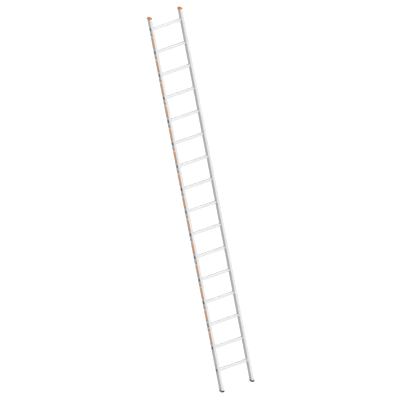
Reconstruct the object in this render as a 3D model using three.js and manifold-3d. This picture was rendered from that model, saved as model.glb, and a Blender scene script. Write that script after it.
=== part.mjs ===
// A single-section leaning ladder: two hollow aluminium stiles joined by swaged box rungs, with
// plug-in rubber feet held by blind rivets, plastic end caps and adhesive label strips.
//
// Millimetres. +Z runs up the ladder, X across it, and -Y faces the climber. The origin is midway
// between the two soles, on the surface that they stand on.

import * as THREE from "three";
import { mergeVertices } from "three/addons/utils/BufferGeometryUtils.js";
import Module from "manifold-3d";

const wasm = await Module();
wasm.setup();

// ---- Driving dimensions ----

const LADDER_WIDTH = 421; // over the outer webs of the two stiles
const RUNG_COUNT = 16;
const RUNG_PITCH = 280; // centre to centre
const FIRST_RUNG_HEIGHT = 266; // from the soles to the centre of the lowest rung
const TOP_OVERHANG = 146; // from the centre of the highest rung to the top of the caps
const SEAT_GAP = 0.3; // between two pieces that touch

const STILE_WIDTH = 30; // along X
const STILE_DEPTH = 70; // along Y
const WEB_WALL = 1.5; // the two side walls, which the rungs pass through
const FLANGE_WALL = 2.2; // the front and back walls
const STILE_CORNER_RADIUS = 3;
const CAVITY_CORNER_RADIUS = 1.5;
const FLANGE_GROOVE_WIDTH = 1.4;
const FLANGE_GROOVE_DEPTH = 0.7;
const FLANGE_GROOVE_INSET = 6; // from the side of the stile to the middle of a groove

const RUNG_SIZE = 30; // the square section's side
const RUNG_WALL = 1.5;
const RUNG_CORNER_RADIUS = 3;
const TREAD_GROOVE_COUNT = 4; // on the top and on the bottom of a rung
const TREAD_GROOVE_SPACING = 5;
const TREAD_GROOVE_DEPTH = 0.8;
const COLLAR_LIP = 1.2; // how far a swaged collar stands out of the rung's section
const BEAD_THICKNESS = 2.6; // the collar against the inner web
const FLARE_THICKNESS = 1.6; // the rolled-over end against the outer web

const PLUG_CLEARANCE = 0.4; // between a plug and the wall of the stile's cavity
const PLUG_WALL = 3;
const PLUG_RIB_SPACING = 30; // between the two cross ribs
const FOOT_HEIGHT = 18; // below the end of the stile
const FOOT_OVERHANG = 0.5; // outside the stile, all round
const FOOT_PLUG_LENGTH = 44;
const FOOT_TOE_RADIUS = 3;
const SOLE_GROOVE_COUNT = 6;
const SOLE_GROOVE_SPACING = 10;
const SOLE_GROOVE_WIDTH = 3;
const SOLE_GROOVE_DEPTH = 2.5;

const CAP_HEIGHT = 18; // above the end of the stile
const CAP_SIDE_OVERHANG = 4.5; // outside the webs
const CAP_FRONT_OVERHANG = 1.5; // outside the flanges
const CAP_PLUG_LENGTH = 40;
const CAP_CORNER_RADIUS = 5;
const CAP_EDGE_ROUNDING = 3;

const RIVET_SETBACK = 24; // from the end of the stile to the rivet's axis
const RIVET_SHANK_RADIUS = 2.4;
const RIVET_HEAD_RADIUS = 4.8;
const RIVET_HEAD_HEIGHT = 1.8;
const RIVET_TAIL_RADIUS = 3.4;
const RIVET_TAIL_LENGTH = 3;

const LABEL_SIDE_MARGIN = 5.5; // from the front or back of the stile to the label
const LABEL_RUNG_MARGIN = 48; // from the centre of a rung to the end of a label
const LABEL_THICKNESS = 0.3;
const FIRST_LABELLED_BAY = 2; // bay 1 lies between the two lowest rungs

// ---- Derived sizes ----

const LADDER_LENGTH = FIRST_RUNG_HEIGHT + (RUNG_COUNT - 1) * RUNG_PITCH + TOP_OVERHANG;
const STILE_BOTTOM = FOOT_HEIGHT + SEAT_GAP;
const STILE_TOP = LADDER_LENGTH - CAP_HEIGHT - SEAT_GAP;
const STILE_CENTRE_X = (LADDER_WIDTH - STILE_WIDTH) / 2;
const CAVITY_WIDTH = STILE_WIDTH - 2 * WEB_WALL;
const CAVITY_DEPTH = STILE_DEPTH - 2 * FLANGE_WALL;
const RIVET_HEIGHT = FOOT_HEIGHT + RIVET_SETBACK;
const RIVET_HOLE_RADIUS = RIVET_SHANK_RADIUS + SEAT_GAP;
const LABEL_WIDTH = STILE_DEPTH - 2 * LABEL_SIDE_MARGIN;
const LABEL_LENGTH = RUNG_PITCH - 2 * LABEL_RUNG_MARGIN;

const ARC_DETAIL = 1; // three.js draws two straight edges for each rounded corner
const RIVET_SEGMENTS = 10;

const rungHeight = (number) => FIRST_RUNG_HEIGHT + (number - 1) * RUNG_PITCH;
const twoDigits = (number) => String(number).padStart(2, "0");

// ---- Materials ----

const aluminium = new THREE.MeshStandardMaterial({ color: 0xd9dadb, roughness: 0.42, metalness: 0.9 });
const rungAluminium = new THREE.MeshStandardMaterial({ color: 0xe3e4e4, roughness: 0.38, metalness: 0.9 });
const rivetMetal = new THREE.MeshStandardMaterial({ color: 0xb9babb, roughness: 0.35, metalness: 0.9 });
const orangePlastic = new THREE.MeshStandardMaterial({ color: 0xe0702c, roughness: 0.55, metalness: 0 });
const orangeFilm = new THREE.MeshStandardMaterial({ color: 0xe8863f, roughness: 0.4, metalness: 0 });
const blackRubber = new THREE.MeshStandardMaterial({ color: 0x2e2b29, roughness: 0.85, metalness: 0 });

// ---- Solids ----

// A closed three.js geometry as a manifold-3d solid.
function solidOf(geometry) {
  const bare = geometry.clone();
  bare.deleteAttribute("normal");
  bare.deleteAttribute("uv");
  const merged = mergeVertices(bare, 1e-4);
  return new wasm.Manifold(
    new wasm.Mesh({
      numProp: 3,
      vertProperties: new Float32Array(merged.attributes.position.array),
      triVerts: new Uint32Array(merged.index.array),
    }),
  );
}

// A manifold-3d solid as a flat-shaded three.js geometry.
function geometryOf(solid) {
  const { vertProperties, triVerts } = solid.getMesh();
  const geometry = new THREE.BufferGeometry();
  geometry.setAttribute("position", new THREE.BufferAttribute(vertProperties, 3));
  geometry.setIndex(new THREE.BufferAttribute(triVerts, 1));
  const flat = geometry.toNonIndexed();
  flat.computeVertexNormals();
  return flat;
}

const joined = (first, ...others) => others.reduce((sum, next) => sum.add(next), first);
const cut = (body, cutters) => cutters.reduce((rest, cutter) => rest.subtract(cutter), body);

// Positions of a row of evenly spaced features, centred on zero.
function evenlySpaced(count, spacing) {
  return Array.from({ length: count }, (_, i) => (i - (count - 1) / 2) * spacing);
}

function roundedRectangle(width, height, radius, outline = new THREE.Shape()) {
  const x = width / 2 - radius;
  const y = height / 2 - radius;
  outline.absarc(x, y, radius, 0, Math.PI / 2);
  outline.absarc(-x, y, radius, Math.PI / 2, Math.PI);
  outline.absarc(-x, -y, radius, Math.PI, 1.5 * Math.PI);
  outline.absarc(x, -y, radius, 1.5 * Math.PI, 2 * Math.PI);
  return outline;
}

// A prism standing on the plane z = from, its outline in X and Y.
function prismUp(outline, from, to) {
  const options = { depth: to - from, bevelEnabled: false, curveSegments: ARC_DETAIL };
  return solidOf(new THREE.ExtrudeGeometry(outline, options).translate(0, 0, from));
}

// A prism running along X, its outline in Y and Z.
function prismAcross(outline, from, to) {
  const options = { depth: to - from, bevelEnabled: false, curveSegments: ARC_DETAIL };
  const turn = new THREE.Matrix4().makeBasis(
    new THREE.Vector3(0, 1, 0),
    new THREE.Vector3(0, 0, 1),
    new THREE.Vector3(1, 0, 0),
  );
  return solidOf(new THREE.ExtrudeGeometry(outline, options).applyMatrix4(turn).translate(from, 0, 0));
}

function block(sizeX, sizeY, sizeZ, x, y, z) {
  return solidOf(new THREE.BoxGeometry(sizeX, sizeY, sizeZ).translate(x, y, z));
}

// A round hole's cutter along X, through everything from -length / 2 to length / 2.
function drillAcross(radius, length, z) {
  const bit = new THREE.CylinderGeometry(radius, radius, length, RIVET_SEGMENTS);
  return solidOf(bit.rotateZ(Math.PI / 2).translate(0, 0, z));
}

// ---- Stile ----

function stileSolid() {
  const section = roundedRectangle(STILE_WIDTH, STILE_DEPTH, STILE_CORNER_RADIUS);
  const cavity = roundedRectangle(CAVITY_WIDTH, CAVITY_DEPTH, CAVITY_CORNER_RADIUS, new THREE.Path());
  section.holes.push(cavity);
  const tube = prismUp(section, STILE_BOTTOM, STILE_TOP);

  const holeSize = RUNG_SIZE + 2 * SEAT_GAP;
  const holeOutline = roundedRectangle(holeSize, holeSize, RUNG_CORNER_RADIUS + SEAT_GAP);
  const punch = prismAcross(holeOutline, -STILE_WIDTH, STILE_WIDTH);
  const rungHoles = [];
  for (let number = 1; number <= RUNG_COUNT; number += 1)
    rungHoles.push(punch.translate([0, 0, rungHeight(number)]));

  const grooveLength = STILE_TOP - STILE_BOTTOM + 2;
  const grooveX = STILE_WIDTH / 2 - FLANGE_GROOVE_INSET;
  const grooves = [];
  for (const x of [-grooveX, grooveX])
    for (const y of [-STILE_DEPTH / 2, STILE_DEPTH / 2])
      grooves.push(
        block(
          FLANGE_GROOVE_WIDTH,
          2 * FLANGE_GROOVE_DEPTH,
          grooveLength,
          x,
          y,
          (STILE_TOP + STILE_BOTTOM) / 2,
        ),
      );

  const rivetHoles = drillAcross(RIVET_HOLE_RADIUS, 2 * STILE_WIDTH, RIVET_HEIGHT);
  return cut(tube, [...rungHoles, ...grooves, rivetHoles]);
}

// ---- Rung ----

// The rung lies along X with its middle at the origin. It passes through both webs of each stile:
// a bead outside the inner web and a rolled-over flare outside the outer web lock it in place.
function rungSolid() {
  const innerWeb = LADDER_WIDTH / 2 - STILE_WIDTH - SEAT_GAP;
  const flareFoot = LADDER_WIDTH / 2 + SEAT_GAP;
  const tip = flareFoot + FLARE_THICKNESS;
  const tube = prismAcross(roundedRectangle(RUNG_SIZE, RUNG_SIZE, RUNG_CORNER_RADIUS), -tip, tip);

  const collarSize = RUNG_SIZE + 2 * COLLAR_LIP;
  const collar = roundedRectangle(collarSize, collarSize, RUNG_CORNER_RADIUS + COLLAR_LIP);
  const collars = [
    prismAcross(collar, -tip, -flareFoot),
    prismAcross(collar, -innerWeb, -innerWeb + BEAD_THICKNESS),
    prismAcross(collar, innerWeb - BEAD_THICKNESS, innerWeb),
    prismAcross(collar, flareFoot, tip),
  ];

  const boreSize = RUNG_SIZE - 2 * RUNG_WALL;
  const boreOutline = roundedRectangle(boreSize, boreSize, RUNG_CORNER_RADIUS - RUNG_WALL);
  const bore = prismAcross(boreOutline, -LADDER_WIDTH, LADDER_WIDTH);

  const grooveLength = 2 * (innerWeb - BEAD_THICKNESS);
  const grooveSide = TREAD_GROOVE_DEPTH * Math.SQRT2;
  const vee = solidOf(new THREE.BoxGeometry(grooveLength, grooveSide, grooveSide).rotateX(Math.PI / 4));
  const grooves = [];
  for (const y of evenlySpaced(TREAD_GROOVE_COUNT, TREAD_GROOVE_SPACING))
    for (const z of [-RUNG_SIZE / 2, RUNG_SIZE / 2]) grooves.push(vee.translate([0, y, z]));

  return cut(joined(tube, ...collars), [bore, ...grooves]);
}

// ---- Feet and caps ----

// The hollow plug that fits the stile's cavity, from z = from to z = to, open at both ends.
function plugSolid(from, to) {
  const width = CAVITY_WIDTH - 2 * PLUG_CLEARANCE;
  const depth = CAVITY_DEPTH - 2 * PLUG_CLEARANCE;
  const section = roundedRectangle(width, depth, CAVITY_CORNER_RADIUS);
  section.holes.push(
    roundedRectangle(width - 2 * PLUG_WALL, depth - 2 * PLUG_WALL, CAVITY_CORNER_RADIUS, new THREE.Path()),
  );
  const ribs = evenlySpaced(2, PLUG_RIB_SPACING).map((y) =>
    block(width - PLUG_WALL, PLUG_WALL, to - from, 0, y, (from + to) / 2),
  );
  return joined(prismUp(section, from, to), ...ribs);
}

function footSolid() {
  const width = STILE_WIDTH + 2 * FOOT_OVERHANG;
  const halfDepth = STILE_DEPTH / 2 + FOOT_OVERHANG;
  const toe = halfDepth - FOOT_TOE_RADIUS;
  const side = new THREE.Shape();
  side.moveTo(halfDepth, FOOT_HEIGHT);
  side.lineTo(-halfDepth, FOOT_HEIGHT);
  side.absarc(-toe, FOOT_TOE_RADIUS, FOOT_TOE_RADIUS, Math.PI, 1.5 * Math.PI);
  side.absarc(toe, FOOT_TOE_RADIUS, FOOT_TOE_RADIUS, 1.5 * Math.PI, 2 * Math.PI);
  const shoe = prismAcross(side, -width / 2, width / 2);
  const soleGrooves = evenlySpaced(SOLE_GROOVE_COUNT, SOLE_GROOVE_SPACING).map((y) =>
    block(2 * width, SOLE_GROOVE_WIDTH, 2 * SOLE_GROOVE_DEPTH, 0, y, 0),
  );
  const plug = plugSolid(FOOT_HEIGHT - PLUG_WALL, FOOT_HEIGHT + FOOT_PLUG_LENGTH);
  const rivetHoles = drillAcross(RIVET_HOLE_RADIUS, 2 * STILE_WIDTH, RIVET_HEIGHT);
  return cut(joined(shoe, plug), [...soleGrooves, rivetHoles]);
}

function capSolid() {
  const width = STILE_WIDTH + 2 * CAP_SIDE_OVERHANG;
  const depth = STILE_DEPTH + 2 * CAP_FRONT_OVERHANG;
  const head = new THREE.ExtrudeGeometry(roundedRectangle(width, depth, CAP_CORNER_RADIUS), {
    depth: CAP_HEIGHT - 2 * CAP_EDGE_ROUNDING,
    bevelThickness: CAP_EDGE_ROUNDING,
    bevelSize: CAP_EDGE_ROUNDING,
    bevelOffset: -CAP_EDGE_ROUNDING,
    bevelSegments: 2 * ARC_DETAIL,
    curveSegments: ARC_DETAIL,
  }).translate(0, 0, LADDER_LENGTH - CAP_HEIGHT + CAP_EDGE_ROUNDING);
  const plugTop = LADDER_LENGTH - CAP_HEIGHT + PLUG_WALL;
  return joined(solidOf(head), plugSolid(LADDER_LENGTH - CAP_HEIGHT - CAP_PLUG_LENGTH, plugTop));
}

// ---- Rivet ----

// A blind rivet along X through one web and the plug behind it. Its head points along +X, and
// x = 0 is the outside of the web.
function rivetGeometry() {
  const grip = WEB_WALL + PLUG_CLEARANCE + PLUG_WALL + SEAT_GAP;
  const profile = [
    [0, -grip - RIVET_TAIL_LENGTH],
    [RIVET_TAIL_RADIUS * 0.6, -grip - RIVET_TAIL_LENGTH],
    [RIVET_TAIL_RADIUS, -grip - RIVET_TAIL_LENGTH / 2],
    [RIVET_SHANK_RADIUS, -grip],
    [RIVET_SHANK_RADIUS, SEAT_GAP],
    [RIVET_HEAD_RADIUS, SEAT_GAP],
    [RIVET_HEAD_RADIUS * 0.75, SEAT_GAP + RIVET_HEAD_HEIGHT * 0.75],
    [0, SEAT_GAP + RIVET_HEAD_HEIGHT],
  ].map(([radius, along]) => new THREE.Vector2(radius, along));
  return new THREE.LatheGeometry(profile, RIVET_SEGMENTS).rotateZ(-Math.PI / 2);
}

// ---- Assembly ----

function meshNamed(name, geometry, material) {
  const mesh = new THREE.Mesh(geometry, material);
  mesh.name = name;
  return mesh;
}

const stileGeometry = geometryOf(stileSolid());
const rungGeometry = geometryOf(rungSolid());
const footGeometry = geometryOf(footSolid());
const capGeometry = geometryOf(capSolid());
const rivet = rivetGeometry();
const labelGeometry = new THREE.BoxGeometry(LABEL_THICKNESS, LABEL_WIDTH, LABEL_LENGTH);

// One stile with everything fixed to it. Its outer web faces +X before the side group is turned.
function sideAssembly(side) {
  const group = new THREE.Group();
  group.add(meshNamed(`${side}_stile`, stileGeometry, aluminium));
  group.add(meshNamed(`${side}_foot`, footGeometry, blackRubber));
  group.add(meshNamed(`${side}_top_cap`, capGeometry, orangePlastic));

  const outerRivet = meshNamed(`${side}_foot_rivet_outer`, rivet, rivetMetal);
  outerRivet.position.set(STILE_WIDTH / 2, 0, RIVET_HEIGHT);
  const innerRivet = meshNamed(`${side}_foot_rivet_inner`, rivet, rivetMetal);
  innerRivet.position.set(-STILE_WIDTH / 2, 0, RIVET_HEIGHT);
  innerRivet.rotation.z = Math.PI;
  group.add(outerRivet, innerRivet);

  for (let bay = FIRST_LABELLED_BAY; bay < RUNG_COUNT; bay += 1) {
    const label = meshNamed(`${side}_label_${twoDigits(bay)}`, labelGeometry, orangeFilm);
    label.position.set(
      STILE_WIDTH / 2 + SEAT_GAP + LABEL_THICKNESS / 2,
      0,
      rungHeight(bay) + RUNG_PITCH / 2,
    );
    group.add(label);
  }
  return group;
}

const ladder = new THREE.Group();

const right = sideAssembly("right");
right.position.x = STILE_CENTRE_X;
const left = sideAssembly("left");
left.position.x = -STILE_CENTRE_X;
left.rotation.z = Math.PI;
ladder.add(left, right);

for (let number = 1; number <= RUNG_COUNT; number += 1) {
  const rung = meshNamed(`rung_${twoDigits(number)}`, rungGeometry, rungAluminium);
  rung.position.z = rungHeight(number);
  ladder.add(rung);
}

export default ladder;
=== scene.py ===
"""A single-section aluminium leaning ladder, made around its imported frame.

Metres. +Z runs up the ladder, X across it, and -Y faces the climber. Every piece takes its place from
the box of the CAD node that it stands for.
"""

import math

import bmesh
import bpy
from mathutils import Matrix, Vector


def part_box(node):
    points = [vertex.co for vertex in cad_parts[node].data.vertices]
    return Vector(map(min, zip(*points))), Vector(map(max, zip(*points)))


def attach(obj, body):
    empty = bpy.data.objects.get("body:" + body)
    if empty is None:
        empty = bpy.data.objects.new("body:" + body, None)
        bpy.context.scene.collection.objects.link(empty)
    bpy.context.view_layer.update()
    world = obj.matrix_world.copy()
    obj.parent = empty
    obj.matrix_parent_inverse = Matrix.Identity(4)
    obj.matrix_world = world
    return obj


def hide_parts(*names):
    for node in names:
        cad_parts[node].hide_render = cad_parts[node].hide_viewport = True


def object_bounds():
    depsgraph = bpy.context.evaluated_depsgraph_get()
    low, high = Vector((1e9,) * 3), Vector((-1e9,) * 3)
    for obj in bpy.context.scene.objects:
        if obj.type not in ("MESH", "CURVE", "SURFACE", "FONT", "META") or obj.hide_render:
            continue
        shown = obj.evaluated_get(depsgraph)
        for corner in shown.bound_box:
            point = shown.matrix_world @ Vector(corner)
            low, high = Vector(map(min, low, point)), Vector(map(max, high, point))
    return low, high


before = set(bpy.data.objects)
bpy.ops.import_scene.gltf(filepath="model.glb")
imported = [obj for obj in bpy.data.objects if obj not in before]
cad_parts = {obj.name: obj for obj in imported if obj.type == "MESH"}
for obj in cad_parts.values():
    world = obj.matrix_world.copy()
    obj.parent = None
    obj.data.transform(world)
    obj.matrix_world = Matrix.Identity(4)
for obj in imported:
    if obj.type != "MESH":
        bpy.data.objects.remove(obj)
CAD_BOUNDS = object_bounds()

# ---- Sizes ----

MM = 0.001
SIDES = ("left", "right")
RUNG_NAMES = sorted(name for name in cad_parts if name.startswith("rung_"))

WEB_WALL = 1.5 * MM
FLANGE_WALL = 2.2 * MM
STILE_CORNER = 3.0 * MM
CAVITY_CORNER = 1.5 * MM
FLANGE_GROOVE = 0.7 * MM  # half width and depth
FLANGE_GROOVES = [(place * MM, FLANGE_GROOVE, FLANGE_GROOVE) for place in (-8.0, 8.0)]
GROOVE_FLOOR = 0.55  # how wide the floor of a groove is, as a share of its mouth
FIT = 0.3 * MM  # between two pieces that touch

RUNG_SIDE = 30.0 * MM
RUNG_CORNER = 3.0 * MM
RUNG_WALL = 1.5 * MM
TREAD_PITCH = 2.5 * MM
TREAD_GROOVES = 9  # deep and shallow ones in turn
TREAD_GROOVE_HALF = 0.34 * TREAD_PITCH
DEEP_GROOVE = 0.8 * MM
SHALLOW_GROOVE = 0.35 * MM
COLLAR_LIP = 1.2 * MM
BEAD_LENGTH = 2.6 * MM

PLUG_GAP = 0.4 * MM
PLUG_WALL = 3.0 * MM
PLUG_TAPER = 0.8 * MM  # how far the end of a plug draws in
PLUG_TAPER_LENGTH = 2.0 * MM
RIVET_HOLE = 2.7 * MM

FOOT_CORNER = STILE_CORNER + 0.5 * MM
GRIP_LINES = 3  # round each foot
GRIP_START = 5.0 * MM
GRIP_PITCH = 3.8 * MM
GRIP_PROFILE = ((0.0, 0.0), (0.4, 0.55), (1.1, 0.55), (1.5, 0.0))  # height and depth, in millimetres
SOLE_GROOVES = 6
SOLE_GROOVE_PITCH = 10.0 * MM
SOLE_GROOVE_WIDTH = 3.0 * MM
SOLE_GROOVE_DEPTH = 2.5 * MM
SOLE_GROOVE_CORNER = 1.0 * MM

CAP_CORNER = 5.0 * MM
CAP_EDGE = 5.0 * MM  # the rounding between its sides and its top
CAP_TOP_INSET = 0.3 * MM
CAP_CROWN = 0.9 * MM
CAP_CROWN_REACH = 8.0 * MM

RIVET_DOME_STEPS = 7
LABEL_CORNER = 4.0 * MM
LABEL_BEVEL = 0.1 * MM

ARC_STEPS = 6  # edges per rounded corner
ROUND_STEPS = 28  # edges round a rivet
SMOOTH_BELOW = math.radians(32)  # sharper edges stay sharp

# ---- The camera's view ----

VIEW_AZIMUTH = math.radians(-22.68)
VIEW_ELEVATION = math.radians(19.87)
VIEW_ROLL = math.radians(10.99)
FRAME_HEIGHT = 4.5557  # what the picture takes in at the ladder, in metres
AIM_RIGHT = -0.0101  # from the middle of the ladder to the middle of the picture
AIM_UP = 0.0005
LENS = 1600.0  # so long that the view is nearly parallel
SENSOR = 36.0
CLIP_START = 1.0

# ---- The studio's light, by direction ----

WORLD_LEVEL = 1.018
WORLD_FRONT = 0.355  # more from the front, less from the back
WORLD_RIGHT = 0.11
WORLD_MOST = 1.37  # before the card and the softbox
WORLD_LEAST = 0.05
CARD = 0.30  # a grey card straight ahead of the ladder's front
CARD_EDGE = 14.0
SOFTBOX = 4.0  # overhead
SOFTBOX_EDGE = 14.0
WORLD_BELOW = 1.65
WORLD_BEHIND = 1.63  # the dark upper part of the room behind the ladder
FLOOR_REACH = 400.0
FLOOR_GLOW = 0.50  # keeps the pale floor evenly white


def make_camera():
    low, high = CAD_BOUNDS
    across = Vector((math.cos(VIEW_AZIMUTH), math.sin(VIEW_AZIMUTH), 0))
    back = Vector((
        math.sin(VIEW_AZIMUTH) * math.cos(VIEW_ELEVATION),
        -math.cos(VIEW_AZIMUTH) * math.cos(VIEW_ELEVATION),
        math.sin(VIEW_ELEVATION),
    ))
    level_up = back.cross(across)
    right = across * math.cos(VIEW_ROLL) - level_up * math.sin(VIEW_ROLL)
    up = across * math.sin(VIEW_ROLL) + level_up * math.cos(VIEW_ROLL)
    target = Vector((0, 0, (low.z + high.z) / 2)) + right * AIM_RIGHT + up * AIM_UP

    data = bpy.data.cameras.new("camera")
    data.sensor_width = SENSOR
    data.lens = LENS
    distance = FRAME_HEIGHT * LENS / SENSOR
    data.clip_start = CLIP_START
    data.clip_end = distance * 4
    camera = bpy.data.objects.new("camera", data)
    bpy.context.scene.collection.objects.link(camera)
    camera.rotation_mode = "QUATERNION"
    camera.rotation_quaternion = Matrix((right, up, back)).transposed().to_quaternion()
    camera.location = target + back * distance
    bpy.context.scene.camera = camera


# ---- Meshes ----


def section(width, height, radius, grooves=(), depth=1.0):
    """A closed outline in (u, v): a rounded rectangle, grooved along its two sides at v = +-height / 2.

    Each groove is (place, half its width, its depth). depth scales them all.
    """
    u, v = width / 2 - radius, height / 2 - radius
    top = height / 2

    def arc(cu, cv, start):
        steps = [start + math.pi / 2 * k / ARC_STEPS for k in range(ARC_STEPS + 1)]
        return [(cu + radius * math.cos(a), cv + radius * math.sin(a)) for a in steps]

    def groove(place, half, deep):
        low = top - deep * depth
        floor = half * GROOVE_FLOOR
        return [(place + half, top), (place + floor, low), (place - floor, low), (place - half, top)]

    upper = [p for g in sorted(grooves, reverse=True) for p in groove(*g)]
    lower = [(-a, -b) for a, b in upper]
    return [
        *arc(u, v, 0), *upper,
        *arc(-u, v, math.pi / 2), *arc(-u, -v, math.pi), *lower,
        *arc(u, -v, 1.5 * math.pi),
    ]


def circle(radius):
    turns = [2 * math.pi * k / ROUND_STEPS for k in range(ROUND_STEPS)]
    return [(radius * math.cos(a), radius * math.sin(a)) for a in turns]


def upright(outline, z):
    return [(u, v, z) for u, v in outline]


def sideways(outline, x):
    return [(x, u, v) for u, v in outline]


def loft(rings, cyclic=False):
    """A mesh through rings of equally many points, which closes at its ends or on its first ring."""
    count = len(rings[0])
    mesh = bpy.data.meshes.new("loft")
    faces = []
    for a in range(len(rings) if cyclic else len(rings) - 1):
        b = (a + 1) % len(rings)
        for i in range(count):
            j = (i + 1) % count
            faces.append((a * count + i, a * count + j, b * count + j, b * count + i))
    if not cyclic:
        faces.append(tuple(range(count)))
        faces.append(tuple(range((len(rings) - 1) * count, len(rings) * count)))
    mesh.from_pydata([p for ring in rings for p in ring], [], faces)
    work = bmesh.new()
    work.from_mesh(mesh)
    bmesh.ops.recalc_face_normals(work, faces=work.faces)
    work.to_mesh(mesh)
    work.free()
    return mesh


def merged(meshes):
    work = bmesh.new()
    for mesh in meshes:
        work.from_mesh(mesh)
    whole = bpy.data.meshes.new("merged")
    work.to_mesh(whole)
    work.free()
    return whole


def mark(mesh, name, values):
    """Stores one number per vertex, which a material reads by name."""
    layer = mesh.attributes.new(name, "FLOAT", "POINT")
    layer.data.foreach_set("value", values)


def moved(mesh, offset):
    copy = mesh.copy()
    copy.transform(Matrix.Translation(offset))
    return copy


def carved(mesh, cutters):
    """The mesh less its cutters, which stay clear of each other."""
    body = bpy.data.objects.new("body", mesh)
    cutter = bpy.data.objects.new("cutter", merged(cutters))
    for each in (body, cutter):
        bpy.context.scene.collection.objects.link(each)
    cut = body.modifiers.new("cut", "BOOLEAN")
    cut.operation = "DIFFERENCE"
    cut.solver = "EXACT"
    cut.object = cutter
    graph = bpy.context.evaluated_depsgraph_get()
    result = bpy.data.meshes.new_from_object(body.evaluated_get(graph))
    bpy.data.objects.remove(body)
    bpy.data.objects.remove(cutter)
    return result


def place(name, mesh, material, slot_name, node, at=(0, 0, 0)):
    """Adds the mesh as the piece that stands for a CAD node."""
    mesh.name = name
    mesh.shade_smooth()
    mesh.set_sharp_from_angle(angle=SMOOTH_BELOW)
    mesh.materials.clear()
    mesh.materials.append(material)
    piece = bpy.data.objects.new(name, mesh)
    bpy.context.scene.collection.objects.link(piece)
    piece.location = at
    normals = piece.modifiers.new("even_normals", "WEIGHTED_NORMAL")
    normals.keep_sharp = True
    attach(piece, "root")
    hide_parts(node)
    return piece


# ---- Node materials ----


class Nodes:
    """A material's node tree, built call by call."""

    def __init__(self, name):
        self.material = bpy.data.materials.new(name)
        self.material.use_nodes = True
        self.tree = self.material.node_tree
        self.shader = self.tree.nodes["Principled BSDF"]
        self.place = self.add("ShaderNodeTexCoord").outputs["Object"]

    def add(self, kind, **settings):
        node = self.tree.nodes.new(kind)
        for key, value in settings.items():
            setattr(node, key, value)
        return node

    def link(self, source, target):
        self.tree.links.new(source, target)

    def stretched(self, scale):
        node = self.add("ShaderNodeMapping")
        node.inputs["Scale"].default_value = scale
        self.link(self.place, node.inputs["Vector"])
        return node.outputs["Vector"]

    def vertex_number(self, name):
        return self.add("ShaderNodeAttribute", attribute_name=name).outputs["Fac"]

    def noise(self, scale, detail=3.0, stretch=(1, 1, 1), roughness=0.55):
        node = self.add("ShaderNodeTexNoise")
        node.inputs["Scale"].default_value = scale
        node.inputs["Detail"].default_value = detail
        node.inputs["Roughness"].default_value = roughness
        self.link(self.stretched(stretch), node.inputs["Vector"])
        return node.outputs["Fac"]

    def levels(self, value, low, high, to_low=0.0, to_high=1.0):
        node = self.add("ShaderNodeMapRange")
        for key, number in zip(("From Min", "From Max", "To Min", "To Max"), (low, high, to_low, to_high)):
            node.inputs[key].default_value = number
        self.link(value, node.inputs["Value"])
        return node.outputs["Result"]

    def math(self, operation, a, b):
        node = self.add("ShaderNodeMath", operation=operation)
        for socket, value in zip(node.inputs, (a, b)):
            if isinstance(value, (int, float)):
                socket.default_value = value
            else:
                self.link(value, socket)
        return node.outputs["Value"]

    def mix(self, factor, a, b):
        node = self.add("ShaderNodeMix", data_type="RGBA")
        self.link(factor, node.inputs["Factor"])
        for socket, value in zip((node.inputs[6], node.inputs[7]), (a, b)):
            if isinstance(value, tuple):
                socket.default_value = (*value, 1)
            else:
                self.link(value, socket)
        return node.outputs[2]

    def axis(self, name):
        node = self.add("ShaderNodeSeparateXYZ")
        self.link(self.place, node.inputs["Vector"])
        return node.outputs[name]

    def bump(self, *heights):
        """Each height is (value, depth in metres). Later ones lie on the earlier."""
        normal = None
        for value, depth in heights:
            node = self.add("ShaderNodeBump")
            node.inputs["Strength"].default_value = 1.0
            node.inputs["Distance"].default_value = depth
            self.link(value, node.inputs["Height"])
            if normal:
                self.link(normal, node.inputs["Normal"])
            normal = node.outputs["Normal"]
        self.link(normal, self.shader.inputs["Normal"])

    def finish(self, colour, roughness, **constants):
        self.link(colour, self.shader.inputs["Base Color"])
        self.link(roughness, self.shader.inputs["Roughness"])
        for key, value in constants.items():
            self.shader.inputs[key.replace("_", " ")].default_value = value
        return self.material


# Tread colour: partly dirt from boots, partly painted shade that darkens the top and bottom faces of the
# rungs.
TREAD_DIRT_AND_SHADE = (0.42, 0.415, 0.405)
# Painted shade: a near-black colour that stands in for the shade inside the rung bores and round the rung
# joints.
PAINTED_SHADE_COLOUR = (0.035, 0.035, 0.037)
DIE_LINE_STRETCH = 0.004
SOILED = 0.55  # how dark soiled metal is against the darker clean tone


def extruded_aluminium(name, along, light, dark, soiling):
    """Mill-finish metal. along is 0 for an extrusion that runs along X and 2 for one along Z."""
    n = Nodes(name)
    fine = [1.0, 1.0, 1.0]
    fine[along] = DIE_LINE_STRETCH
    streaks = n.noise(1500, 4, tuple(fine))
    bands = n.noise(260, 2, tuple(fine))
    cloud = n.noise(9, 4)
    grain = n.noise(2200, 2)
    scuff = n.noise(95, 5, roughness=0.7)
    tone = n.math("ADD", n.math("MULTIPLY", streaks, 0.5), n.math("MULTIPLY", bands, 0.5))
    metal = n.mix(n.levels(tone, 0.35, 0.65), dark, light)
    handled = n.levels(scuff, 0.60, 0.78, 0.0, soiling)
    colour = n.mix(handled, metal, tuple(c * SOILED for c in dark))
    # Darker treads, in patches: partly dirt from boots, partly painted shade on the rungs' top and bottom
    # faces.
    tread_dirt_and_shade = n.math("MULTIPLY", n.vertex_number("tread"), n.levels(scuff, 0.3, 0.7, 0.35, 0.75))
    colour = n.mix(tread_dirt_and_shade, colour, TREAD_DIRT_AND_SHADE)
    # Painted shade: near-black inside the bores and round the rung ends at the stiles, where shade falls.
    colour = n.mix(n.vertex_number("painted_shade"), colour, PAINTED_SHADE_COLOUR)
    rough = n.math("ADD", n.levels(tone, 0.3, 0.7, 0.34, 0.46), n.levels(cloud, 0.3, 0.7, -0.05, 0.08))
    n.bump((tone, 0.00006), (grain, 0.00001))
    return n.finish(colour, rough, Metallic=1.0)


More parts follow.
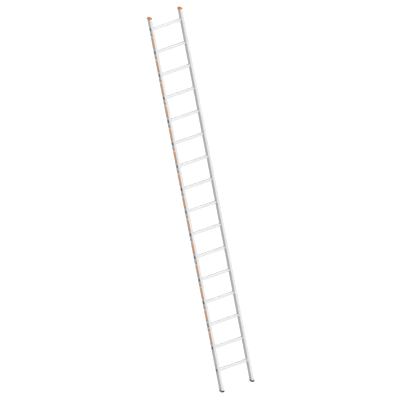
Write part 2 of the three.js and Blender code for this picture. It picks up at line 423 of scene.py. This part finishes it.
def moulded_plastic(name, colour_a, colour_b):
    n = Nodes(name)
    cloud = n.noise(40, 3)
    grain = n.noise(1600, 3)
    scratches = n.noise(300, 5, (1.0, 0.15, 1.0), 0.7)
    worn = n.levels(scratches, 0.62, 0.75, 0.0, 0.35)
    base = n.mix(n.levels(cloud, 0.3, 0.7), colour_a, colour_b)
    colour = n.mix(worn, base, tuple(min(1.0, c * 1.25 + 0.05) for c in colour_a))
    rough = n.levels(grain, 0.3, 0.7, 0.42, 0.6)
    n.bump((grain, 0.00008), (cloud, 0.0002))
    return n.finish(colour, rough, Specular_IOR_Level=0.3)


def foot_rubber(name):
    n = Nodes(name)
    grain = n.noise(1200, 3)
    cloud = n.noise(120, 4)
    low = n.levels(n.axis("Z"), 0.0, 0.012, 1.0, 0.0)
    dusty = n.math("MULTIPLY", low, n.levels(cloud, 0.35, 0.65, 0.0, 0.2))
    base = n.mix(n.levels(cloud, 0.3, 0.7), (0.010, 0.009, 0.008), (0.020, 0.017, 0.016))
    colour = n.mix(dusty, base, (0.13, 0.12, 0.105))
    rough = n.levels(grain, 0.3, 0.7, 0.72, 0.92)
    n.bump((grain, 0.0001), (cloud, 0.0003))
    return n.finish(colour, rough, Specular_IOR_Level=0.22)


LABEL_ORANGE = (0.55, 0.272, 0.132, 1)
LABEL_INK = (0.20, 0.18, 0.165, 1)
LABEL_PALE = (0.78, 0.62, 0.48, 1)
LABEL_BANDS = [  # where each starts, as a share of the strip's length from its lower end
    (0.0, LABEL_ORANGE),
    (0.035, LABEL_INK),
    (0.065, LABEL_ORANGE),
    (0.745, LABEL_PALE),
    (0.81, LABEL_ORANGE),
    (0.895, LABEL_INK),
    (0.955, LABEL_ORANGE),
]


def label_film(name, half_length):
    """Printed film with plain bands across it."""
    n = Nodes(name)
    height = n.levels(n.axis("Z"), -half_length, half_length)
    cloud = n.noise(60, 4)
    print_grain = n.noise(2600, 2)
    ramp = n.add("ShaderNodeValToRGB")
    ramp.color_ramp.interpolation = "CONSTANT"
    while len(ramp.color_ramp.elements) < len(LABEL_BANDS):
        ramp.color_ramp.elements.new(0.5)
    for element, (position, colour) in zip(ramp.color_ramp.elements, LABEL_BANDS):
        element.position = position
        element.color = colour
    n.link(height, ramp.inputs["Fac"])
    faded = n.mix(n.levels(cloud, 0.4, 0.7, 0.0, 0.22), ramp.outputs["Color"], (0.70, 0.42, 0.27))
    rough = n.levels(print_grain, 0.3, 0.7, 0.30, 0.42)
    n.bump((print_grain, 0.00002), (cloud, 0.00015))
    return n.finish(faded, rough, Specular_IOR_Level=0.5)


def rivet_metal(name):
    n = Nodes(name)
    cloud = n.noise(500, 4)
    colour = n.mix(n.levels(cloud, 0.35, 0.65), (0.13, 0.13, 0.13), (0.24, 0.24, 0.24))
    n.bump((cloud, 0.00006))
    return n.finish(colour, n.levels(cloud, 0.3, 0.7, 0.32, 0.5), Metallic=1.0)


# ---- Stiles ----


def stile_tube(low, high):
    width, depth = high.x - low.x, high.y - low.y
    outer = section(width, depth, STILE_CORNER, FLANGE_GROOVES)
    inner = section(width - 2 * WEB_WALL, depth - 2 * FLANGE_WALL, CAVITY_CORNER, FLANGE_GROOVES, 0.0)
    rings = [upright(outer, low.z), upright(outer, high.z), upright(inner, high.z), upright(inner, low.z)]
    return loft(rings, True)


def make_stile(side, metal):
    node = f"{side}_stile"
    low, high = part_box(node)
    centre = (low + high) / 2
    mesh = stile_tube(low, high)
    reach = high.x - low.x
    hole = section(RUNG_SIDE + 2 * FIT, RUNG_SIDE + 2 * FIT, RUNG_CORNER + FIT)
    punch = loft([sideways(hole, -reach), sideways(hole, reach)])
    drill = loft([sideways(circle(RIVET_HOLE), -reach), sideways(circle(RIVET_HOLE), reach)])
    cutters = [moved(punch, (0, 0, rung_height(name))) for name in RUNG_NAMES]
    cutters.append(moved(drill, (0, 0, rivet_height(side))))
    mesh = carved(mesh, cutters)
    place(f"{side}_stile_extrusion", mesh, metal, "stile_aluminium", node, (centre.x, 0, 0))


def rung_height(name):
    low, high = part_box(name)
    return (low.z + high.z) / 2


def rivet_height(side):
    low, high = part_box(f"{side}_foot_rivet_outer")
    return (low.z + high.z) / 2


# ---- Rungs ----


def rung_mesh():
    low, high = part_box(RUNG_NAMES[0])
    stile_low, stile_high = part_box("right_stile")
    tip = high.x
    outer_web, inner_web = stile_high.x, stile_low.x
    flare = outer_web + FIT
    bead_end = inner_web - FIT
    bead = bead_end - BEAD_LENGTH
    lip = COLLAR_LIP
    wall = RUNG_WALL
    # From the middle of the rung outwards, then back inside: place, growth, tread depth, painted shade (a
    # near-black colour standing in for the shade inside the bore and round the rung's joints with the
    # stiles).
    half = [
        (0, 0, 1, 0),
        (bead - 12 * MM, 0, 1, 0),
        (bead - 5 * MM, 0, 0.5, 0),
        (bead - 2.0 * MM, 0, 0, 0.05),
        (bead - 0.6 * MM, 0.25 * lip, 0, 0.15),
        (bead + 0.3 * MM, 0.72 * lip, 0, 0.2),
        (bead + 1.1 * MM, 0.97 * lip, 0, 0.25),
        (bead_end - 0.5 * MM, lip, 0, 0.35),
        (bead_end - 0.1 * MM, 0.9 * lip, 0, 0.6),
        (bead_end, 0.75 * lip, 0, 0.75),
        (bead_end + 0.05 * MM, 0, 0, 1),
        (flare - 0.05 * MM, 0, 0, 1),
        (flare, 0.8 * lip, 0, 0.95),
        (flare + 0.15 * MM, 0.95 * lip, 0, 0.9),
        (flare + 0.5 * MM, lip, 0, 0.85),
        (flare + 0.95 * MM, 0.93 * lip, 0, 0.75),
        (tip - 0.25 * MM, 0.7 * lip, 0, 0.75),
        (tip, 0.35 * lip, 0, 0.65),
        (tip - 0.15 * MM, 0.05 * lip, 0, 0.6),
        (tip - 0.6 * MM, -0.25 * wall, 0, 0.5),
        (flare - 0.4 * MM, -0.75 * wall, 0, 0.45),
        (flare - 3 * MM, -wall, 0, 0.65),
        (flare - 7 * MM, -wall, 0, 0.9),
        (flare - 12 * MM, -wall, 0, 1),
        (bead_end, -wall, 0, 1),
        (bead + 1.2 * MM, -0.5 * wall, 0, 1),
        (bead - 1.5 * MM, -wall, 0, 1),
        (0, -wall, 0, 1),
    ]
    grooves = []
    for k in range(TREAD_GROOVES):
        k -= (TREAD_GROOVES - 1) // 2
        grooves.append((k * TREAD_PITCH, TREAD_GROOVE_HALF, DEEP_GROOVE if k % 2 else SHALLOW_GROOVE))

    whole = half + [(-x, *rest) for x, *rest in reversed(half)][1:-1]
    rings = []
    for x, grown, fluted, _ in whole:
        side = RUNG_SIDE + 2 * grown
        rings.append(sideways(section(side, side, RUNG_CORNER + grown, grooves, fluted), x))
    mesh = loft(rings, True)
    # How much painted shade each ring gets: inside the bore and round the bead and the flare.
    mark(mesh, "painted_shade", [painted_shade_share for *_, painted_shade_share in whole for _ in rings[0]])
    mark(mesh, "tread", [tread_share(x, y, z, bead) for ring in rings for x, y, z in ring])
    return mesh


def tread_share(x, y, z, end):
    """1 on the flat top and bottom treads of a rung and 0 on its rounded edges and ends."""
    flat = RUNG_SIDE / 2 - RUNG_CORNER
    return 1.0 if abs(y) <= flat + 0.1 * MM and abs(z) > flat + 2 * MM and abs(x) < end else 0.0


def make_rungs(metal):
    master = rung_mesh()
    for name in RUNG_NAMES:
        place(f"{name}_tube", master.copy(), metal, "rung_aluminium", name, (0, 0, rung_height(name)))


# ---- Feet and caps ----


def plug_sizes(stile):
    low, high = stile
    width = high.x - low.x - 2 * (WEB_WALL + PLUG_GAP)
    depth = high.y - low.y - 2 * (FLANGE_WALL + PLUG_GAP)
    return width, depth


def box_ring(width, depth, corner, z, inset=0.0):
    return upright(section(width - 2 * inset, depth - 2 * inset, max(corner - inset, 0.2 * MM)), z)


def make_foot(side, rubber):
    node = f"{side}_foot"
    low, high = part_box(node)
    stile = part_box(f"{side}_stile")
    centre = (low + high) / 2
    width, depth = high.x - low.x, high.y - low.y
    shoulder = stile[0].z - FIT
    plug = plug_sizes(stile)

    rings = [
        box_ring(width, depth, FOOT_CORNER, low.z, 1.0 * MM),
        box_ring(width, depth, FOOT_CORNER, low.z + 0.3 * MM, 0.35 * MM),
        box_ring(width, depth, FOOT_CORNER, low.z + 1.0 * MM),
    ]
    for k in range(GRIP_LINES):
        z = low.z + GRIP_START + GRIP_PITCH * k
        for rise, inset in GRIP_PROFILE:
            rings.append(box_ring(width, depth, FOOT_CORNER, z + rise * MM, inset * MM))
    rings += [
        box_ring(width, depth, FOOT_CORNER, shoulder - 0.9 * MM),
        box_ring(width, depth, FOOT_CORNER, shoulder - 0.25 * MM, 0.25 * MM),
        box_ring(width, depth, FOOT_CORNER, shoulder, 0.9 * MM),
        box_ring(*plug, CAVITY_CORNER, shoulder),
        box_ring(*plug, CAVITY_CORNER, high.z - PLUG_TAPER_LENGTH),
        box_ring(*plug, CAVITY_CORNER, high.z, PLUG_TAPER),
        box_ring(*plug, CAVITY_CORNER, high.z, PLUG_WALL),
        box_ring(*plug, CAVITY_CORNER, shoulder, PLUG_WALL),
    ]
    mesh = loft(rings)
    groove = section(SOLE_GROOVE_WIDTH, 2 * SOLE_GROOVE_DEPTH, SOLE_GROOVE_CORNER)
    slot = loft([sideways(groove, -width), sideways(groove, width)])
    cutters = []
    for k in range(SOLE_GROOVES):
        y = (k - (SOLE_GROOVES - 1) / 2) * SOLE_GROOVE_PITCH
        cutters.append(moved(slot, (0, y, low.z)))
    drill = loft([sideways(circle(RIVET_HOLE), -width), sideways(circle(RIVET_HOLE), width)])
    cutters.append(moved(drill, (0, 0, rivet_height(side))))
    mesh = carved(mesh, cutters)
    place(f"{side}_rubber_foot", mesh, rubber, "foot_rubber", node, (centre.x, 0, 0))


def make_cap(side, plastic):
    node = f"{side}_top_cap"
    low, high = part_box(node)
    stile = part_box(f"{side}_stile")
    centre = (low + high) / 2
    width, depth = high.x - low.x, high.y - low.y
    skirt = stile[1].z + FIT
    plug = plug_sizes(stile)

    rings = [
        box_ring(*plug, CAVITY_CORNER, skirt + 2 * MM, PLUG_WALL),
        box_ring(*plug, CAVITY_CORNER, low.z, PLUG_WALL),
        box_ring(*plug, CAVITY_CORNER, low.z, PLUG_TAPER),
        box_ring(*plug, CAVITY_CORNER, low.z + PLUG_TAPER_LENGTH),
        box_ring(*plug, CAVITY_CORNER, skirt),
        box_ring(width, depth, CAP_CORNER, skirt, 0.6 * MM),
        box_ring(width, depth, CAP_CORNER, skirt + 0.15 * MM, 0.15 * MM),
        box_ring(width, depth, CAP_CORNER, skirt + 0.6 * MM),
        box_ring(width, depth, CAP_CORNER, skirt + 3.2 * MM),  # the parting line starts here
        box_ring(width, depth, CAP_CORNER, skirt + 3.5 * MM, 0.5 * MM),
        box_ring(width, depth, CAP_CORNER, skirt + 4.1 * MM, 0.5 * MM),
        box_ring(width, depth, CAP_CORNER, skirt + 4.4 * MM, 0.1 * MM),
    ]
    for k in range(ARC_STEPS + 1):
        a = math.pi / 2 * k / ARC_STEPS
        z = high.z - CAP_CROWN - CAP_EDGE * (1 - math.sin(a))
        inset = CAP_TOP_INSET + CAP_EDGE * (1 - math.cos(a))
        rings.append(box_ring(width, depth, CAP_CORNER, z, inset))
    for share in (0.35, 0.7, 1.0):
        z = high.z - CAP_CROWN * (1 - share) ** 2
        inset = CAP_TOP_INSET + CAP_EDGE + share * CAP_CROWN_REACH
        rings.append(box_ring(width, depth, CAP_CORNER, z, inset))
    place(f"{side}_moulded_cap", loft(rings), plastic, "cap_plastic", node, (centre.x, 0, 0))


# ---- Rivets and labels ----


def make_rivet(side, where, metal):
    node = f"{side}_foot_rivet_{where}"
    low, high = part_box(node)
    outward = 1 if (side == "right") == (where == "outer") else -1
    tip, tail = (high.x, low.x) if outward > 0 else (low.x, high.x)
    head = (high.z - low.z) / 2
    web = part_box(f"{side}_stile")[1 if outward > 0 else 0].x + outward * FIT
    rise = abs(tip - web)
    profile = [  # place and radius, from the tail to the rim of the head
        (tail, 0.3 * head),
        (tail + outward * 0.8 * MM, 0.62 * head),
        (tail + outward * 2.0 * MM, 0.68 * head),
        (tail + outward * 3.0 * MM, 0.5 * head),
        (web, 0.5 * head),
        (web, 0.96 * head),
        (web + outward * 0.12 * rise, head),
    ]
    for k in range(1, RIVET_DOME_STEPS):
        a = math.pi / 2 * k / RIVET_DOME_STEPS
        profile.append((web + outward * rise * (0.15 + 0.85 * math.sin(a)), head * math.cos(a)))
    profile += [  # the hollow in the head, with the end of the mandrel in it
        (web + outward * rise, 0.26 * head),
        (web + outward * 0.45 * rise, 0.24 * head),
        (web + outward * 0.45 * rise, 0.20 * head),
        (web + outward * 0.75 * rise, 0.16 * head),
        (web + outward * 0.80 * rise, 0.06 * head),
    ]
    mesh = loft([sideways(circle(radius), x) for x, radius in profile])
    place(f"{side}_{where}_blind_rivet", mesh, metal, "rivet_aluminium", node, (0, 0, rivet_height(side)))


def make_labels(film):
    for node in sorted(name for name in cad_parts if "_label_" in name):
        low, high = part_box(node)
        centre = (low + high) / 2
        width, height = high.y - low.y, high.z - low.z
        half = (high.x - low.x) / 2
        outward = 1 if centre.x > 0 else -1
        outline = section(width, height, LABEL_CORNER)
        face = section(width - 2 * LABEL_BEVEL, height - 2 * LABEL_BEVEL, LABEL_CORNER)
        rings = [
            sideways(outline, -half * outward),
            sideways(outline, half * 0.6 * outward),
            sideways(face, half * outward),
        ]
        place(f"{node}_film", loft(rings), film, "label_film", node, centre)


# ---- Studio ----


def make_world():
    """Soft light from all round, strongest overhead and brighter from the front than from behind."""
    world = bpy.data.worlds.new("studio")
    bpy.context.scene.world = world
    world.use_nodes = True
    tree = world.node_tree
    background = tree.nodes["Background"]

    def node(kind, **settings):
        made = tree.nodes.new(kind)
        for key, value in settings.items():
            setattr(made, key, value)
        return made

    def calc(operation, a, b):
        made = node("ShaderNodeMath", operation=operation)
        for socket, value in zip(made.inputs, (a, b)):
            if isinstance(value, (int, float)):
                socket.default_value = value
            else:
                tree.links.new(value, socket)
        return made.outputs["Value"]

    direction = node("ShaderNodeSeparateXYZ")
    tree.links.new(node("ShaderNodeTexCoord").outputs["Generated"], direction.inputs["Vector"])
    x, y, z = (direction.outputs[k] for k in "XYZ")
    above = calc("MAXIMUM", z, 0.0)
    below = calc("MINIMUM", z, 0.0)
    level = calc("ADD", calc("MULTIPLY", y, -WORLD_FRONT), WORLD_LEVEL)
    level = calc("ADD", level, calc("MULTIPLY", x, WORLD_RIGHT))
    level = calc("MINIMUM", level, WORLD_MOST)
    ahead = calc("MAXIMUM", calc("MULTIPLY", y, -1.0), 0.0)
    level = calc("SUBTRACT", level, calc("MULTIPLY", calc("POWER", ahead, CARD_EDGE), CARD))
    level = calc("ADD", level, calc("MULTIPLY", calc("POWER", above, SOFTBOX_EDGE), SOFTBOX))
    level = calc("SUBTRACT", level, calc("MULTIPLY", calc("MULTIPLY", below, below), WORLD_BELOW))
    behind = calc("MULTIPLY", calc("MAXIMUM", y, 0.0), above)
    level = calc("SUBTRACT", level, calc("MULTIPLY", behind, WORLD_BEHIND))
    level = calc("MAXIMUM", level, WORLD_LEAST)
    seen = calc("MAXIMUM", level, node("ShaderNodeLightPath").outputs["Is Camera Ray"])
    tree.links.new(seen, background.inputs["Strength"])
    background.inputs["Color"].default_value = (1, 1, 1, 1)


def make_floor():
    mesh = bpy.data.meshes.new("floor")
    r = FLOOR_REACH
    mesh.from_pydata([(-r, -r, 0), (r, -r, 0), (r, r, 0), (-r, r, 0)], [], [(0, 1, 2, 3)])
    floor = bpy.data.objects.new("floor", mesh)
    bpy.context.scene.collection.objects.link(floor)
    floor.visible_glossy = False
    n = Nodes("pale_floor")
    colour = n.mix(n.levels(n.noise(3, 2), 0.3, 0.7), (0.47, 0.47, 0.47), (0.49, 0.49, 0.49))
    rough = n.levels(n.noise(40, 2), 0.3, 0.7, 0.8, 0.9)
    glow = {"Emission_Color": (1, 1, 1, 1), "Emission_Strength": FLOOR_GLOW}
    n.finish(colour, rough, Specular_IOR_Level=0.1, **glow)
    mesh.materials.append(n.material)


# ---- Everything together ----

make_camera()
bpy.context.scene.view_settings.view_transform = "Standard"
make_world()
make_floor()

stile_metal = extruded_aluminium("stile_metal", 2, (0.90, 0.905, 0.91), (0.80, 0.805, 0.81), 0.25)
rung_metal = extruded_aluminium("rung_metal", 0, (0.92, 0.92, 0.92), (0.83, 0.83, 0.83), 0.35)
for side in SIDES:
    make_stile(side, stile_metal)
make_rungs(rung_metal)

cap_plastic = moulded_plastic("orange_cap_plastic", (0.57, 0.195, 0.05), (0.51, 0.17, 0.04))
rubber = foot_rubber("black_foot_rubber")
rivet = rivet_metal("dull_rivet_metal")
for side in SIDES:
    make_cap(side, cap_plastic)
    make_foot(side, rubber)
    for where in ("outer", "inner"):
        make_rivet(side, where, rivet)

label_low, label_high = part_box("left_label_02")
make_labels(label_film("orange_label_film", (label_high.z - label_low.z) / 2))
